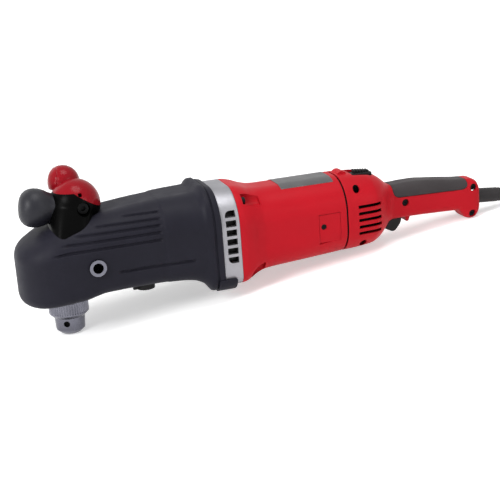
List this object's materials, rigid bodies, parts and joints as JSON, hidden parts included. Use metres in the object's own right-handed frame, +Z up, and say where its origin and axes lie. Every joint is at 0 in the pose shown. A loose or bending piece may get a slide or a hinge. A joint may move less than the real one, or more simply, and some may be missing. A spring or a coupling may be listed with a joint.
{
  "type": "right-angle drill",
  "caption": "Corded heavy-duty right-angle drill: booted gear head with a keyed chuck, red motor housing, trigger handle, front handle with a bulb and a knob and a coiled cord with plug.",
  "frame": {"origin": "on the floor under the middle of the drill's box, cord left out, as it stands on its chuck nose and on the heel of its handle", "axes": "+X towards the rear handle, +Y to the side with the red knob, +Z up"},
  "size_m": [0.8103, 0.1715, 0.1888],
  "materials": {
    "boot_rubber": "satin",
    "case_metal": "satin",
    "collar_metal": "satin",
    "red_plastic": "satin",
    "black_plastic": "satin",
    "grip_rubber": "matte",
    "steel": "satin",
    "dark_steel": "satin",
    "lamination_steel": "matte",
    "copper": "satin",
    "brass": "satin",
    "carbon": "matte",
    "plate_paint": "satin",
    "cord_rubber": "matte"
  },
  "bodies": {
    "tool": {"gear_case": "case_metal", "rubber_boot": "boot_rubber", "front_bearing_carrier": "case_metal", "rear_bearing_carrier": "case_metal", "spindle_retainer": "steel", "retainer_screws": "steel", "side_handle_bushings": "steel", "collar": "collar_metal", "housing_screws": "dark_steel", "motor_housing": "red_plastic", "field_stack": "lamination_steel", "field_coils": "copper", "armature_bearings": "steel", "brush_holders": "brass", "carbon_brushes": "carbon", "brush_springs": "steel", "brush_doors": "red_plastic", "brush_door_screws": "dark_steel", "rating_plate": "plate_paint", "gear_shaft_bearings": "steel", "spindle_bearings": "steel", "handle_shell_near": "red_plastic", "handle_shell_far": "red_plastic", "handle_screws": "dark_steel", "grip_pad": "grip_rubber", "trigger_pin": "steel", "trigger_spring": "steel", "switch_body": "black_plastic", "front_handle_grip": "grip_rubber", "front_handle_core": "red_plastic", "front_handle_bolts": "dark_steel", "strain_relief": "cord_rubber", "cord_lead": "cord_rubber", "cord_coil": "cord_rubber", "cord_tail": "cord_rubber", "cord_tie": "black_plastic", "plug_body": "cord_rubber", "plug_blades": "brass"},
    "armature": {"armature_shaft": "steel", "armature_core": "lamination_steel", "armature_windings": "copper", "commutator": "copper", "cooling_fan": "black_plastic", "armature_pinion": "steel"},
    "idler": {"idler_shaft": "steel", "idler_gear": "steel"},
    "bevel_pinion": {"bevel_pinion_shaft": "steel", "final_spur_gear": "steel"},
    "spindle": {"spindle": "steel", "bevel_gear": "steel", "chuck_body": "steel"},
    "chuck_sleeve": {"chuck_sleeve": "steel", "chuck_nut": "steel"},
    "jaw_1": {"chuck_jaw_1": "steel"},
    "jaw_2": {"chuck_jaw_2": "steel"},
    "jaw_3": {"chuck_jaw_3": "steel"},
    "trigger": {"trigger": "black_plastic"},
    "reversing_lever": {"reversing_lever": "black_plastic"},
    "speed_selector": {"speed_selector": "black_plastic"}
  },
  "joints": [
    {"name": "armature_spin", "type": "hinge", "parent": "tool", "child": "armature", "pos_m": [-0.05815, 0, 0.07106], "axis": [0.9932, 0, -0.1164], "continuous": true},
    {"name": "idler_spin", "type": "hinge", "parent": "tool", "child": "idler", "pos_m": [-0.13761, 0.022, 0.08037], "axis": [0.9932, 0, -0.1164], "continuous": true},
    {"name": "bevel_pinion_spin", "type": "hinge", "parent": "tool", "child": "bevel_pinion", "pos_m": [-0.17734, 0, 0.08503], "axis": [0.9932, 0, -0.1164], "continuous": true},
    {"name": "spindle_spin", "type": "hinge", "parent": "tool", "child": "spindle", "pos_m": [-0.25242, 0, 0.09382], "axis": [0.1164, 0, 0.9932], "continuous": true},
    {"name": "chuck_sleeve_turn", "type": "hinge", "parent": "spindle", "child": "chuck_sleeve", "pos_m": [-0.2601, 0, 0.02827], "axis": [0.1164, 0, 0.9932], "range_deg": [0, 5400]},
    {"name": "jaw_1_slide", "type": "slide", "parent": "spindle", "child": "jaw_1", "axis": [-0.2409, 0.1638, -0.9566], "range_m": [0, 0.0241]},
    {"name": "jaw_2_slide", "type": "slide", "parent": "spindle", "child": "jaw_2", "axis": [-0.1912, -0.1928, -0.9624], "range_m": [0, 0.0241]},
    {"name": "jaw_3_slide", "type": "slide", "parent": "spindle", "child": "jaw_3", "axis": [0.0907, 0.0289, -0.9955], "range_m": [0, 0.0241]},
    {"name": "trigger_squeeze", "type": "hinge", "parent": "tool", "child": "trigger", "pos_m": [0.14168, 0, 0.03306], "axis": [0, -1, 0], "range_deg": [0, 12], "stiffness_Nm_per_rad": 1.2, "springref_deg": -6.88, "deforming": ["trigger_spring"]},
    {"name": "reversing_lever_swing", "type": "hinge", "parent": "tool", "child": "reversing_lever", "pos_m": [0.1083, 0, 0.09184], "axis": [0.1164, 0, 0.9932], "range_deg": [-15, 15]},
    {"name": "speed_selector_turn", "type": "hinge", "parent": "tool", "child": "speed_selector", "pos_m": [-0.16687, 0, 0.03346], "axis": [0.1164, 0, 0.9932], "range_deg": [0, 90]}
  ],
  "couplings": [
    {"joint": "idler_spin", "follows": "armature_spin", "ratio": -0.27907},
    {"joint": "bevel_pinion_spin", "follows": "armature_spin", "ratio": 0.10465},
    {"joint": "spindle_spin", "follows": "armature_spin", "ratio": 0.034884},
    {"joint": "jaw_1_slide", "follows": "chuck_sleeve_turn", "m_per_rad": 0.00025465},
    {"joint": "jaw_2_slide", "follows": "chuck_sleeve_turn", "m_per_rad": 0.00025465},
    {"joint": "jaw_3_slide", "follows": "chuck_sleeve_turn", "m_per_rad": 0.00025465}
  ]
}
